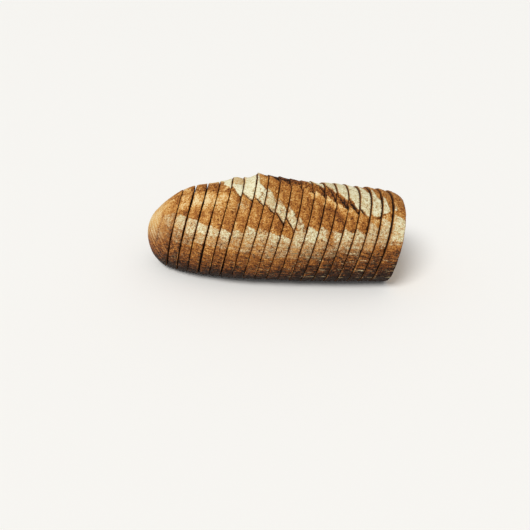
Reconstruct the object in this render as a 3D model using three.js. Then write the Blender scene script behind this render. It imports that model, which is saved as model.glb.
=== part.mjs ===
// Sliced sourdough batard: an oval loaf cut on a slant into even slices that still stand together.
// Millimetres, +Z up, +X along the loaf from the rounded heel to the cut end, base on z = 0,
// origin under the middle of the row.
import * as THREE from "three";
import { mergeVertices } from "three/addons/utils/BufferGeometryUtils.js";

// Loaf envelope
const HALF_WIDTH = 61;
const HEIGHT = 96.5;
const WIDEST_X = -12;
const HEEL_REACH = 129;
const TAPER_REACH = 262.5;
const TAPER_POWER = 1.92;
const HEEL_WIDTH_POWER = 0.53;
const HEEL_TOP_POWER = 0.39;
const HEEL_SOLE_POWER = 14;
const HEEL_TIP_Z = 27;
const END_WIDTH_POWER = 0.417;
const END_TOP_POWER = 0.3;
const WAIST_SHARE = 0.46;
const DOME_EXPONENT = 1.98;
const BELLY_EXPONENT = 2.62;
const SOLE_PRESS = 4;
const SOLE_PRESS_POWER = 0.3;

// Slices: foot stations of the cuts, how the cuts lean (less at both ends), turn and bow,
// and how the last face spreads towards its foot
const SLICES = 19;
const SLICE_PITCH = 12.45;
const FIRST_CUT_X = -118.4;
const SLANT = Math.tan(THREE.MathUtils.degToRad(15.5));
const SLANT_END_DROP = 0.032;
const CUT_TURN = -0.0475;
const CUT_BOW = -3;
const END_FLARE = 0.055;
const END_FLARE_Z = 135;

// Gaps that stay open at the rims of the cuts, from the heel on, and the half gap left where two faces
// all but touch inside
const GAP_INSIDE = 0.15;
const GAP_CREST_Z = 95;
const GAPS_AT_CREST = [
  0.6, 2.2, 1.8, 1.1, 1.1, 0.8, 0.9, 0.8, 0.9, 0.8,
  0.8, 0.8, 0.9, 0.9, 0.9, 0.9, 1, 1.2, 1.9, 1.2,
];
const GAPS_AT_FOOT = [
  2.8, 1.6, 1.2, 3.6, 0.9, 2.6, 0.8, 0.9, 0.7, 1,
  0.8, 0.9, 0.8, 0.8, 0.8, 0.8, 0.9, 1.2, 1.6, 1.2,
];
const HEEL_GAP_POWER = 8;

// How each slice has tipped, rolled, turned and slid on its neighbour, in its own cut plane
const TIP_SHARE = 0.45;
const TIP_SHARE_SPREAD = 0.3;
const TIP_FROM_Z = 4;
const TIP_FULL_Z = 34;
const ROLL = 0.026;
const TURN = 0.055;
const TURN_SPREAD = 0.04;
const TURN_TO_END = 0.02;
const SLIDE_Y = 0.5;
const CENTRE_Z = 40;

// Diagonal scores: the ear lip, the torn opening beside it, and the swellings and dips of the bloom
const EAR_HEIGHT = 2.6;
const EAR_BACK_DEG = 6;
const EAR_FRONT_DEG = 1.8;
const TEAR_DEPTH = 2.8;
const TEAR_EDGE_DEG = 4;
const SCORES = [
  { x: -45, angle: 79, fall: 0.65, bend: 9, openX: -76, openHalf: 44, openDeg: 21 },
  { x: 27, angle: 84, fall: 0.46, bend: 0, openX: 40, openHalf: 62, openDeg: 25 },
];
const BLOOMS = [
  { x: -18, angle: 106, height: 5.4, before: 7, after: 30, around: 26 },
  { x: 14, angle: 106, height: 1.2, before: 24, after: 18, around: 24 },
  { x: -42, angle: 106, height: 3.2, before: 8, after: 11, around: 26 },
  { x: -95, angle: 100, height: 3.6, before: 21, after: 21, around: 30 },
  { x: 48, angle: 113, height: -1.8, before: 9, after: 8, around: 16 },
  { x: 116, angle: 108, height: 1.6, before: 13, after: 10, around: 26 },
  { x: 141, angle: 100, height: -2.5, before: 6, after: 8, around: 60 },
];

// Mesh density: segments round a section, along a slice and along the heel, closer at the crest
// and the heel's tip; and the steps that settle a point in its slanted cut
const AROUND = 72;
const ALONG = 3;
const HEEL_RINGS = 13;
const TOP_CROWDING_DEG = 24;
const TIP_CROWDING = 1.7;
const CUT_STEPS = 12;

// Crust brown of the outside
const CRUST_COLOUR = 0xa8703c;
const CRUST_ROUGHNESS = 0.85;

const clamp01 = (v) => THREE.MathUtils.clamp(v, 0, 1);
const smooth = (v, from, to) => THREE.MathUtils.smoothstep(v, from, to);

// A repeatable draw between -1 and 1 for one slice or cut.
function draw(index, channel) {
  const wave = Math.sin(index * 12.9898 + channel * 78.233) * 43758.5453;
  return 2 * (wave - Math.floor(wave)) - 1;
}

// Half width, top, sole and waist height of the upright section at station x.
function section(x) {
  const heelSide = x < WIDEST_X;
  const out = clamp01(Math.abs(x - WIDEST_X) / (heelSide ? HEEL_REACH : TAPER_REACH));
  const base = 1 - out ** TAPER_POWER;
  const halfWidth = HALF_WIDTH * base ** (heelSide ? HEEL_WIDTH_POWER : END_WIDTH_POWER);
  const top = heelSide
    ? HEEL_TIP_Z + (HEIGHT - HEEL_TIP_Z) * base ** HEEL_TOP_POWER
    : HEIGHT * base ** END_TOP_POWER;
  const rise = heelSide ? HEEL_TIP_Z * out ** HEEL_SOLE_POWER : 0;
  const sole = rise - SOLE_PRESS * base ** SOLE_PRESS_POWER;
  const floor = Math.max(sole, 0);
  return { halfWidth, top, sole, waist: floor + WAIST_SHARE * (top - floor) };
}

// Point of the section outline: 0 degrees is the front waist, 90 the crest, 180 the back waist.
function outline(x, degrees) {
  const { halfWidth, top, sole, waist } = section(x);
  const angle = THREE.MathUtils.degToRad(degrees);
  const c = Math.cos(angle);
  const s = Math.sin(angle);
  const exponent = 2 / (s >= 0 ? DOME_EXPONENT : BELLY_EXPONENT);
  const y = -halfWidth * Math.sign(c) * Math.abs(c) ** exponent;
  const reach = s >= 0 ? top - waist : waist - sole;
  const z = waist + reach * Math.sign(s) * Math.abs(s) ** exponent;
  return { y, z: Math.max(z, 0) };
}

// Height of the scored relief over the smooth loaf.
function relief(x, degrees) {
  let height = 0;
  for (const score of SCORES) {
    const run = x - score.x;
    const bent = score.bend > 0 ? score.bend * Math.log1p(Math.exp(run / score.bend)) : run;
    const fromEar = degrees - (score.angle - score.fall * bent);
    const share = 1 - ((x - score.openX) / score.openHalf) ** 2;
    if (share <= 0) continue;
    const opening = score.openDeg * share;
    const lipReach = fromEar < 0 ? EAR_BACK_DEG : EAR_FRONT_DEG;
    height += EAR_HEIGHT * Math.sqrt(share) * Math.exp(-((fromEar / lipReach) ** 2));
    const inTear = smooth(fromEar, 0, TEAR_EDGE_DEG) * (1 - smooth(fromEar, 0.5 * opening, opening));
    height -= TEAR_DEPTH * share * inTear;
  }
  for (const bloom of BLOOMS) {
    const along = (x - bloom.x) / (x < bloom.x ? bloom.before : bloom.after);
    const around = (degrees - bloom.angle) / bloom.around;
    height += bloom.height * Math.exp(-along * along - around * around);
  }
  return height;
}

const cutX = (cut) => FIRST_CUT_X + cut * SLICE_PITCH;

// Station of a point of the slanted cut whose foot is at station foot.
function cutStation(foot, y, z) {
  const out = (foot - cutX(SLICES / 2)) / (SLICE_PITCH * SLICES / 2);
  const lean = SLANT - SLANT_END_DROP * out * out;
  return foot + lean * z + CUT_TURN * y + CUT_BOW * (y / HALF_WIDTH) ** 2;
}

// Outline point with its relief in the cut whose foot is at station foot;
// share fades an upright section to the cut.
function slantedPoint(foot, degrees, share) {
  let x = foot;
  let p = outline(x, degrees);
  for (let step = 0; step < CUT_STEPS; step += 1) {
    x = foot + share * (cutStation(foot, p.y, p.z) - foot);
    p = outline(x, degrees);
  }
  const ahead = outline(x, degrees + 0.5);
  const behind = outline(x, degrees - 0.5);
  const ty = ahead.y - behind.y;
  const tz = ahead.z - behind.z;
  const length = Math.hypot(ty, tz);
  const height = p.z > 0 && length > 0 ? relief(x, degrees) : 0;
  if (height === 0) return p;
  return { y: p.y - (height * tz) / length, z: Math.max(p.z + (height * ty) / length, 0) };
}

// Section angle for a share of the way round, crowded towards the crest.
function angleAt(share) {
  return -90 + 360 * share + TOP_CROWDING_DEG * Math.sin(2 * Math.PI * share);
}

// Half of the open gap at the rim of one cut; some gaps are wider at the crest, some at the foot.
function halfGap(cut, z) {
  return 0.5 * THREE.MathUtils.lerp(GAPS_AT_FOOT[cut], GAPS_AT_CREST[cut], clamp01(z / GAP_CREST_Z));
}

// One slice: a drum whose rings follow the loaf's outline between two slanted cuts.
function sliceGeometry(index) {
  const geometry = new THREE.CylinderGeometry(1, 1, 1, AROUND, ALONG);
  const position = geometry.attributes.position;
  const middle = cutX(index + 0.5);
  const share = TIP_SHARE + TIP_SHARE_SPREAD * draw(index, 2);
  const slide = SLIDE_Y * draw(index, 3);
  const roll = ROLL * draw(index, 4);
  const turn = TURN + TURN_SPREAD * draw(index, 5) + (TURN_TO_END * index) / SLICES;
  const centre = section(middle + CENTRE_Z * SLANT);
  for (let i = 0; i < position.count; i += 1) {
    const px = position.getX(i);
    const pz = position.getZ(i);
    const along = 0.5 - position.getY(i);
    const nominal = cutX(index) + SLICE_PITCH * along;
    const degrees = angleAt((Math.atan2(px, pz) + Math.PI) / (2 * Math.PI));
    const onRim = Math.hypot(px, pz) > 0.5;
    const p = onRim ? slantedPoint(nominal, degrees, 1) : { y: 0, z: centre.waist };
    const free = smooth(p.z, TIP_FROM_Z, TIP_FULL_Z);
    const z = p.z + free * (share * SLANT * (middle - nominal) - roll * p.y);
    const y = p.y + free * (slide + roll * (p.z - TIP_FULL_Z)) - turn * (middle - nominal);
    const left = onRim ? halfGap(index, z) : GAP_INSIDE;
    const right = onRim ? halfGap(index + 1, z) : GAP_INSIDE;
    const inset = left * (1 - along) - right * along;
    const flare = index === SLICES - 1 ? END_FLARE * (END_FLARE_Z - z) * along : 0;
    position.setXYZ(i, cutStation(nominal + inset, y, z) + flare, y, z);
  }
  return geometry;
}

// The heel: a cone whose rings follow the loaf from the first cut to the rounded tip.
function heelGeometry() {
  const geometry = new THREE.CylinderGeometry(0, 1, 1, AROUND, HEEL_RINGS);
  const position = geometry.attributes.position;
  const tipX = WIDEST_X - HEEL_REACH;
  const foot = cutX(0);
  for (let i = 0; i < position.count; i += 1) {
    const px = position.getX(i);
    const pz = position.getZ(i);
    const radius = Math.hypot(px, pz);
    const onCut = position.getY(i) < -0.499;
    const share = onCut ? 1 : radius;
    const degrees = angleAt((Math.atan2(px, pz) + Math.PI) / (2 * Math.PI));
    const nominal = tipX + (foot - tipX) * share ** TIP_CROWDING;
    const inCut = onCut && radius < 0.5;
    let p = { y: 0, z: HEEL_TIP_Z };
    if (inCut) p = { y: 0, z: section(foot).waist };
    else if (radius > 1e-6) p = slantedPoint(nominal, degrees, share);
    const inset = (inCut ? GAP_INSIDE : halfGap(0, p.z)) * share ** HEEL_GAP_POWER;
    const x = nominal - inset + share * (cutStation(nominal, p.y, p.z) - nominal);
    position.setXYZ(i, x, p.y, p.z);
  }
  return geometry;
}

// One closed mesh, with its own crust material.
function piece(name, geometry) {
  geometry.deleteAttribute("normal");
  geometry.deleteAttribute("uv");
  const closed = mergeVertices(geometry, 1e-4);
  closed.computeVertexNormals();
  const crust = new THREE.MeshStandardMaterial({ color: CRUST_COLOUR, roughness: CRUST_ROUGHNESS });
  const mesh = new THREE.Mesh(closed, crust);
  mesh.name = name;
  return mesh;
}

const loaf = new THREE.Group();
loaf.add(piece("heel", heelGeometry()));
for (let index = 0; index < SLICES; index += 1) {
  loaf.add(piece(`slice_${String(index + 1).padStart(2, "0")}`, sliceGeometry(index)));
}

export default loaf;
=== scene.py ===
"""Sliced sourdough batard: dresses the loaf's slices in floured crust, torn scores and open crumb.

Each slice of the loaf is built again, finer, between the same slanted cuts as its solid. The crust carries
the ear lips, torn openings, cracks, blisters and flour of a baked loaf. The cut end shows the crumb's holes.
"""
import math
from functools import partial

import bpy
import numpy as np
from mathutils import Matrix, Vector


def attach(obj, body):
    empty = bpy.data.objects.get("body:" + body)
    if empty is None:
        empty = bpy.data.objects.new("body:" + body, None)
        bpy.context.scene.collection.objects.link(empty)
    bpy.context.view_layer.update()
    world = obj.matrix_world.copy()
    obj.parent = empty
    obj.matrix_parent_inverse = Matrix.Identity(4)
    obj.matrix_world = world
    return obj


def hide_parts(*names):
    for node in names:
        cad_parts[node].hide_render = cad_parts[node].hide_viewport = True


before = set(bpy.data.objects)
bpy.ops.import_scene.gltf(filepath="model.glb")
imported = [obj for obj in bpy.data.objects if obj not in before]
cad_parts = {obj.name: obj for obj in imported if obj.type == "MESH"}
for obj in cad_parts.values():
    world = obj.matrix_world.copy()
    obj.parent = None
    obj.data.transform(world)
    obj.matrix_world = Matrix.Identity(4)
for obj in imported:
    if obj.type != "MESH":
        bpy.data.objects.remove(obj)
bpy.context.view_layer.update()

MM = 0.001

# Loaf envelope, millimetres, as in the solids
HALF_WIDTH = 61
HEIGHT = 96.5
WIDEST_X = -12
HEEL_REACH = 129
TAPER_REACH = 262.5
TAPER_POWER = 1.92
HEEL_WIDTH_POWER = 0.53
HEEL_TOP_POWER = 0.39
HEEL_SOLE_POWER = 14
HEEL_TIP_Z = 27
END_WIDTH_POWER = 0.417
END_TOP_POWER = 0.3
WAIST_SHARE = 0.46
DOME_EXPONENT = 1.98
BELLY_EXPONENT = 2.62
SOLE_PRESS = 4
SOLE_PRESS_POWER = 0.3

# Slices and their slanted cuts, as in the solids
SLICES = 19
SLICE_PITCH = 12.45
FIRST_CUT_X = -118.4
SLANT = math.tan(math.radians(15.5))
SLANT_END_DROP = 0.032
CUT_TURN = -0.0475
CUT_BOW = -3
END_FLARE = 0.055
END_FLARE_Z = 135

# Gaps at the cuts, as in the solids
GAP_INSIDE = 0.15
GAP_CREST_Z = 95
GAPS_AT_CREST = (0.6, 2.2, 1.8, 1.1, 1.1, 0.8, 0.9, 0.8, 0.9, 0.8,
                 0.8, 0.8, 0.9, 0.9, 0.9, 0.9, 1, 1.2, 1.9, 1.2)
GAPS_AT_FOOT = (2.8, 1.6, 1.2, 3.6, 0.9, 2.6, 0.8, 0.9, 0.7, 1,
                0.8, 0.9, 0.8, 0.8, 0.8, 0.8, 0.9, 1.2, 1.6, 1.2)
HEEL_GAP_POWER = 8

# How a gap's width strays along its cut; cuts lie apart in the random field
GAP_EASE = 0.9
GAP_SPREAD = 0.45
GAP_WAVE = 9
CUT_APART = 100

# How each slice has tipped, rolled, turned and slid, as in the solids
TIP_SHARE = 0.45
TIP_SHARE_SPREAD = 0.3
TIP_FROM_Z = 4
TIP_FULL_Z = 34
ROLL = 0.026
TURN = 0.055
TURN_SPREAD = 0.04
TURN_TO_END = 0.02
SLIDE_Y = 0.5

# How far slices differ in bake, flour, height of the flour band and place of the stripes
SPREADS = dict(tone=0.05, dust=0.12, shift=1.2, slip=1.3)

# Channels of the draws for the traits of a slice
CHANNELS = dict(tip=2, slide=3, roll=4, turn=5, tone=6, dust=7, shift=8, slip=10)

# The heel's number in the row, before the first slice
HEEL = -1

# Scores, as in the solids, with where each lip starts to show, the strength of the painted shadow and dents
# in the pits and groove above it, and its paleness
EAR_HEIGHT = 2.6
EAR_BACK_DEG = 6
EAR_FRONT_DEG = 1.8
TEAR_DEPTH = 2.8
TEAR_EDGE_DEG = 4
LEAST_OPENING_DEG = 0.001
SCORES = (
    dict(x=-45, angle=79, fall=0.65, bend=9, open_x=-76, open_half=44, open_deg=21,
         lip_x=-130, lip_shadow=0.3, pale=0.3),
    dict(x=27, angle=84, fall=0.46, bend=0, open_x=40, open_half=62, open_deg=25,
         lip_x=24, lip_shadow=0.66, pale=1.0),
)

# Swellings and dips of the bloom, as in the solids
BLOOMS = (
    dict(x=-18, angle=106, height=5.4, before=7, after=30, around=26),
    dict(x=14, angle=106, height=1.2, before=24, after=18, around=24),
    dict(x=-42, angle=106, height=3.2, before=8, after=11, around=26),
    dict(x=-95, angle=100, height=3.6, before=21, after=21, around=30),
    dict(x=48, angle=113, height=-1.8, before=9, after=8, around=16),
    dict(x=116, angle=108, height=1.6, before=13, after=10, around=26),
    dict(x=141, angle=100, height=-2.5, before=6, after=8, around=60),
)

# Share of a slice's pitch by which the lips step at each cut
LIP_STEP = 0.6

# Marks of the scores: belts in section degrees above the lip, and strengths along the loaf; the pits and
# groove above a lip are dents darkened with painted shadow of the lip
LIP_FADE_X = 36
LIP_BELT = (-9, -5, -0.3, 1)
LIP_SHOWN = dict(base=0.75, steps=((74, 88, -0.35),))
LIP_PALE = 0.56
PIT_BELT = (9, 2.4)
PIT_DEPTH = dict(base=0.7, bumps=((73, 8, -0.49), (-50, 9, -0.7)))
GROOVE_BELT = (8.6, 1.4)
GROOVE_DEPTH = dict(base=0.2, bumps=((85, 5, 0.8), (56, 8, 0.2)))
SCORCH_BELT = (-30, -16, -12, -7)
SCORCH_BAKE = dict(base=-0.02, steps=((46, 72, 0.14),))
TORN_BAKE = dict(base=-0.05, bumps=((62, 20, 0.11),), steps=((30, 60, 0.04),))

# Stripes of floured skin: edge stations by section angle, step at each cut, angles of the crack, which is
# darkened as painted shadow under the raised skin
STRIPE_ANGLES = (25, 33, 50, 63, 76, 86, 92, 110, 150)
FIRST_STRIPE = dict(
    left=(32, 25.5, 7, -14, -37, -51, -52, -56, -85),
    right=(46, 39, 24, 12.5, -2, -15.5, -17, -18, -40),
    step=0.4, crack_and_shadow=(28, 36, 70, 77),
)
SECOND_STRIPE = dict(
    left=(150, 140, 108, 87, 74, 64, 58, 44, 12),
    right=(152, 147, 138, 128, 121, 112, 107, 92, 60),
    step=0.8, crack_and_shadow=(53, 56, 112, 125),
)
STRIPES_SHOW = (24, 30, 128, 150)
STRIPE_LEFT = (-0.5, 0.7)
STRIPE_RIGHT = (-1.1, 1.1)
STRIPE_CRACK = (-0.9, 0.95)

# Foot of the second stripe in section degrees, and the crack along it, darkened as painted shadow
FOOT_DEG = 53
FOOT_RISE = 0.62
FOOT_RISE_X = 110
FOOT_EDGE = (-0.6, 0.8)
FOOT_CRACK = (-1, 1.3)
FOOT_CRACK_X = (113, 7)
FOOT_CRACK_SHARE = 0.7

# Where flour is rubbed off the first stripe at the crest and worn off low down
RUBBED_X = (-45, -42, -31, -29)
RUBBED_FROM_DEG = (87, 91)
RUBBED_TO_DEG = (106, 118)
RUBBED_SHARE = 0.6
WORN_X = (-12, 12)
WORN_SHARE = 0.55

# Depth of the flour on the stripes, and what is added towards the crest
STRIPE_DEPTH = dict(base=0.94, steps=((70, 95, -0.08),))
CREST_DEPTH = dict(base=0.22, steps=((10, 40, -0.176),))
CREST_DEG = (66, 80)

# Flour along each flank by station: top edge in section degrees, feet of band and veil in height
BAND_STATIONS = (-105, -93, -81, -68, -43, -5, 7, 18, 32, 45, 57, 69, 93, 107, 120, 132)
BAND_TOPS = (56, 51, 41, 37, 31, 30, 28, 25, 29, 34, 34, 35, 34, 44, 49, 56)
BAND_FEET = (61, 61, 60, 60, 61, 62, 60, 57, 57, 58, 61, 59, 59, 62, 63, 59)
VEIL_FEET = (48, 49, 50, 52, 50, 46, 43, 42, 42, 42, 44, 48, 49, 54, 58, 56)
BAND_TILT = 4
BAND_TOP_EDGE = (-0.8, 0.8)
BAND_FOOT_EDGE = (-1.5, 1.2)
BAND_START_X = (-127, -110)
HEEL_BAND = 0.75

# Depth of the white band along the loaf, with a slow wave and one bare spot
BAND_WHITE = 0.78
BAND_GRAINY = 0.96
BAND_DEPTH = dict(base=0.95, bumps=((104, 20, -0.22),), steps=((120, 130, 0.24),))
BAND_WAVE = 0.08
BAND_WAVE_X = -110
BAND_WAVE_LENGTH = 26
BARE_SPOT = dict(x=63, along=3.5, angle=27, around=10)
BARE_SHARE = 0.8

# Depth of the veil above its hem, with a line at the hem, and its rise to the band
VEIL_DEPTH = dict(base=0, bumps=((1, 0.8, 0.2),), steps=((-2, 2, 0.2), (-30, 0, 0.14)))
VEIL_RISE = 0.16

# Pale lines low on the flanks, and rings of the proving basket's coils on the heel
LINE_LEVELS = (41, 29, 18)
LINE_HALF = 0.65
LINES_X = (-50, 20)
RINGS_X = (-118, -100)
COIL_SPACING = 7.5
COIL_TILT = 1.4
COIL_HALF = 0.15
COIL_SPAN = (5, 14, 48, 62)

# Low flank and heel, where the crust is calmer, and how far a slice's shift moves its layers
LOW_DEG = (6, 26)
LOW_CALM = 0.45
HEEL_X = (-122, -104)
HEEL_CALM = 0.75
LEVEL_SHIFT = 1.6

# Rims of the cuts, where painted shade darkens the crust along the gaps; low down the right ones catch the
# light as a painted highlight, and from one slice on the left ones
RIM_REACH = 0.9
LIT_RIM = (0.3, 0.7)
LIT_RIM_Z = (6, 16, 30, 55)
BRIGHT_LEFT_FROM = 12

# Thin flour: a dusting below the first stripe, the heel, and specks low on the flanks
DUSTING = dict(x=-28, along=10, angle=58, around=9)
DUSTING_FLOUR = 0.55
HEEL_FLOUR = 0.32
HEEL_FLOUR_DEG = (0, 26)
SPECK_FLOUR = 0.38
SPECK_Z = (8, 20)
MOST_FLOUR = 1.25

# Share of flour lost on crackle, pits, holes and rims
CRACKLE_LOSS = dict(base=0.5, bumps=((-10, 14, 0.4),))
PIT_LOSS = 0.25
HOLE_LOSS = 0.4
RIM_LOSS = 0.35

# Bake by height, 0 pale to 1 dark, partly real browning and, low on the flanks, partly painted shade of the
# underside; and how much painted shade darkens a slice to its right rim
FLANK_LEVELS = (0, 10, 16, 20, 25, 30, 36, 44, 50, 58, 72)
FLANK_BAKE_AND_SHADE = (1.35, 1.2, 1.06, 0.95, 0.87, 0.79, 0.7, 0.65, 0.58, 0.52, 0.5)
SLICE_SHADE = 0.15
MOST_BAKE = 1.35

# Spots baked paler, on both flanks (side) or in one place (degrees)
BAKED_SPOTS = (
    dict(by="side", x=-75, along=26, angle=65, around=8.5, bake=-0.42),
    dict(by="side", x=118, along=16, angle=50, around=14, bake=-0.22),
    dict(by="side", x=-128, along=22, angle=68, around=28, bake=-0.3),
    dict(by="degrees", x=-11, along=7, angle=92, around=9, bake=-0.2),
    dict(by="degrees", x=-50, along=6, angle=85.5, around=3, bake=-0.45),
)

# Crest baked paler or darker between section angles
BAKED_CRESTS = (
    dict(by="side", x=-93, along=15, angles=(72, 80, 90, 91), bake=-0.14),
    dict(by="side", x=-60, along=19, angles=(71, 78, 90, 91), bake=0.13),
    dict(by="degrees", x=8, along=13, angles=(82, 91, 110, 126), bake=0.13),
)
BLOOM_CREST = dict(stations=(-15, -7, 22, 45), angles=(94, 103, 110, 126), bake=0.35)

# Heel baked paler, with a slanting crease, and the low flank darker towards the cut end
HEEL_PALE = dict(base=0.07, steps=((0, 35, 0.1), (0, 25, -0.07)))
HEEL_CREASE = dict(x=-124, angle=15, slope=0.163, half=1.7, angles=(4, 20, 58, 76), bake=0.24)
LOW_END_BAKE = 0.13
LOW_END_X = (20, 80)

# What each mark of the crust adds to flour, bake and height; in the bake, lit rims are a painted highlight,
# and rims, cracks and the pits and groove above a lip are darkened with painted shadow
MARK_FLOUR = dict(lines=0.52, rings=0.3, lit=0.3)
MARK_BAKE_AND_SHADING = dict(crack_and_shadow=0.7, pitted_and_shadowed=0.75, rubbed=-0.42, rims=0.1, lit=-0.4, lines=-0.1, rings=-0.2)
MARK_RELIEF = dict(skin=0.7, crack_and_shadow=-1.8, pitted_and_shadowed=-1.5, lines=0.2)

# How far flour fills the blisters, and where relief starts above the sole
FLOUR_FILL = 0.5
RELIEF_Z = (0.2, 5)

# Random fields over the crust, size in millimetres and seed, and how others are stretched
FIELDS = dict(lump=(27, 1), cloud=(13, 6), patch=(9, 2), mottle=(4.2, 3), blister=(2.4, 4), fine=(1.3, 5))
STRATA_STRETCH = np.array((0.1, 0.4, 1.0))
STREAK_STRETCH = np.array((1.0, 0.22, 0.22))
DASH_STRETCH = np.array((0.2, 0.4, 1.0))
NOISE_CELLS = 256
NOISE_GAIN = 1.7

# Mesh density of the crust
AROUND = 640
CRUST_RINGS = 20
RIM_STEP = 0.45
SLICE_MIDDLE_Z = 45
ANGLE_SAMPLES = 4001
SURFACE_PASSES = 12
TANGENT_DEG = 0.5
LEAST_LENGTH = 1e-9

# Rings of the heel from tip to cut, whose points double as they grow
HEEL_RINGS = 66
HEEL_TIP_SHARE = 0.02
HEEL_RIM_SHARE = 0.985
HEEL_RING_POWER = 1.7
HEEL_MIDDLE_Z = 40
HEEL_FIRST_POINTS = 40
HEEL_POINT_STEP = 0.75

# Worn rims of the slices, and the share of flour left on them
EDGE_WEAR = 0.3
EDGE_WEAR_SPREAD = 0.8
RIM_FLOUR = 0.4

# Rings of the open cut end, by depth in from the rim
END_FIRST_DEPTH = 0.6
END_LAST_DEPTH = 0.7
END_RING_STEP = 0.62

# Rings of a face that shows only inside a gap, by depth, and where the gap closes
GAP_FACE_DEPTHS = np.array((0.7, 1.5, 2.5, 4.0, 7.0, 15.0, 24.0, 34.0))
GAP_LAST_DEPTH = 2
GAP_CLOSES = (0.2, 4)
GAP_THIN_DEPTH = 4
GAP_LEAST_SHARE = 0.12

# When a ring of a cut face has half the points of the one before
HALVE_BELOW = 0.62
LEAST_POINTS = 20

# From crust to crumb by depth: at the open end, and in a gap, where the low shares pick the darkest rind
# stops as painted shade of the gap
END_RIND = ((0, 3.2), (0.5, 1))
GAP_RIND_AND_SHADE = ((0, 1.3, 2.3, 4, 9, 15), (0, 0.03, 0.15, 0.3, 0.5, 1))
FACE_BAKE = 0.4

# Holes of the crumb: how many, least and greatest half length, and depth share
HOLE_KINDS = ((1500, 0.4, 0.8, 0.8), (240, 0.8, 1.4, 0.9), (34, 1.4, 2.3, 0.9), (9, 2.3, 3.8, 0.7))
HOLE_SEED = 31
HOLE_OUTERMOST = 0.9
HOLE_KEEP_IN = 0.02
HOLE_SLIM = (0.45, 0.95)
HOLE_TURN_SPREAD = 0.7
HOLE_DEPTH = 1.6
HOLE_MARGIN = 1.2

# Material slots of a piece
CRUST = 0
CRUMB = 1

# Sizes of the shaders' patterns; flour and bran are finer than a pixel, so they are drawn in clumps
GRAIN_MM = 1.15
PATCH_MM = 6
WRINKLE_MM = 2.7
DUST_MM = 1.0
CLOUD_MM = 7
BRAN_MM = 0.8
CELL_MM = 1.7
CRUST_BUMP_MM = 0.8
CRUMB_BUMP_MM = 0.6

# Heights and stations between which the crust's wrinkles and grain come in
WRINKLES_Z = (35 * MM, 58 * MM)
GRAIN_X = (-126 * MM, -106 * MM)

# Colours of the bare crust from pale to burnt, of the crumb, and of the rind, whose near black stops are
# painted shade inside the gaps
SKIN_STOPS = ((0.0, "ead2a0"), (0.25, "d4a056"), (0.5, "ac6b2a"), (0.75, "754018"), (1.0, "221005"))
CRUMB_STOPS = ((0.3, "b8935e"), (0.5, "cda976"), (0.7, "dec093"))
RIND_AND_GAP_SHADE_STOPS = ((0.0, "7c4f26"), (0.15, "24130a"), (0.3, "140a04"), (0.55, "96622e"), (1.0, "c8985a"))

# Factor, first and second colour sockets of a colour mix, and its settings
MIX_FACTOR = 0
MIX_A = 6
MIX_B = 7
COLOUR_MIX = dict(data_type="RGBA", out=2)

# Half size of the table in metres, so that its edge is out of the photo's view
TABLE_HALF = 12.0

# Light from a wide window, and the pale room
WINDOW_STRENGTH = 2.1
WINDOW_SPREAD_DEG = 28
WINDOW_COLOUR = (1.0, 0.99, 0.965)
WINDOW_TURN_DEG = (29, -22, 0)
ROOM_COLOUR = (1.0, 1.0, 0.99, 1)
ROOM_STRENGTH = 0.48

# Camera fitted to the cuts: what it looks at, from how far, and where that falls in the picture
LOOK_AT = (32.1, 0, 40)
LOOK_PIXEL = (300.5, 232.6)
CAMERA_DISTANCE = 625.7
CAMERA_ELEVATION = 32.3
CAMERA_AZIMUTH = 3.8
FOCAL_PIXELS = 560
PICTURE_PIXELS = 530
SENSOR_WIDTH = 36
CLIP_START = 0.01


def ramp(value, start, end):
    """Smooth step from 0 at start to 1 at end."""
    t = np.clip((value - start) / (end - start), 0, 1)
    return t * t * (3 - 2 * t)


def fade(value, start, end):
    """Smooth step from 1 at start to 0 at end."""
    return 1 - ramp(value, start, end)


def between(value, start, full, ease, end):
    """Smooth rise from 0 at start to 1 at full, and fall from 1 at ease to 0 at end."""
    return ramp(value, start, full) * fade(value, ease, end)


def bell(value, middle, half):
    """Smooth bump, 1 at the middle and about a third at half a width away."""
    return np.exp(-(((value - middle) / half) ** 2))


def near(spot, x, angle):
    """Soft spot on the crust: 1 at its station and section angle."""
    return bell(x, spot["x"], spot["along"]) * bell(angle, spot["angle"], spot["around"])


def profile(value, base, bumps=(), steps=()):
    """A base, with bumps (middle, half width, change) and steps (start, end, change)."""
    for middle, half, change in bumps:
        base = base + change * bell(value, middle, half)
    for start, end, change in steps:
        base = base + change * ramp(value, start, end)
    return base


def draw(index, trait):
    """A repeatable draw between -1 and 1 for one trait of one slice."""
    wave = math.sin(index * 12.9898 + CHANNELS[trait] * 78.233) * 43758.5453
    return 2 * (wave - math.floor(wave)) - 1


def noise(places, size, seed):
    """Smooth random field, about -1 to 1, at places in millimetres, with features of the given size."""
    rng = np.random.default_rng(seed)
    order = rng.permutation(NOISE_CELLS)
    slopes = rng.normal(size=(NOISE_CELLS, 3)).astype(np.float32)
    slopes /= np.linalg.norm(slopes, axis=1, keepdims=True)
    spot = (places / size).astype(np.float32)
    cell = np.floor(spot).astype(np.int64)
    part = spot - cell
    blend = part ** 3 * (part * (part * 6 - 15) + 10)
    total = np.zeros(places.shape[:-1], np.float32)
    for corner in np.ndindex(2, 2, 2):
        key = order[(cell[..., 0] + corner[0]) % NOISE_CELLS]
        key = order[(key + cell[..., 1] + corner[1]) % NOISE_CELLS]
        key = order[(key + cell[..., 2] + corner[2]) % NOISE_CELLS]
        away = part - np.array(corner, np.float32)
        weight = np.prod(np.where(np.array(corner) == 1, blend, 1 - blend), axis=-1)
        total += weight * (slopes[key] * away).sum(-1)
    return total * NOISE_GAIN


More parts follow.
